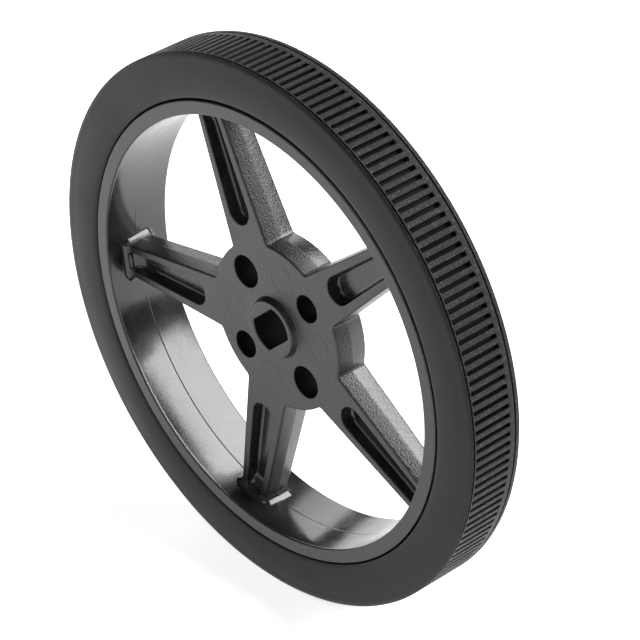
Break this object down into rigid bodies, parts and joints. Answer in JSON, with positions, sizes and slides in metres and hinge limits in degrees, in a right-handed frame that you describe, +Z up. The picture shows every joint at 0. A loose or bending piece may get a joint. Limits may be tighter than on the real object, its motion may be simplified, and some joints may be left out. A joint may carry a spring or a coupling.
{
  "type": "robot car wheel",
  "caption": "Narrow robot car wheel: a spoked black plastic moulding with a double-flat shaft socket and a solid rubber tyre with cross slots.",
  "frame": {"origin": "the wheel's centre: on the spin axis, in the middle plane of the rim, hub and spokes", "axes": "+Y along the spin axis, from the outer face towards the motor; the outer face with the round boss looks along -Y; +Z up; one spoke points 43.3 degrees up from +X"},
  "size_m": [0.065, 0.0093, 0.065],
  "materials": {
    "wheel_plastic": "black moulded plastic, satin on the faces and glossy in the barrel",
    "tyre_rubber": "black rubber, smooth sidewalls and a dull, slightly rough tread"
  },
  "bodies": {
    "root": {"wheel_body": "wheel_plastic", "tyre": "tyre_rubber"}
  },
  "joints": []
}
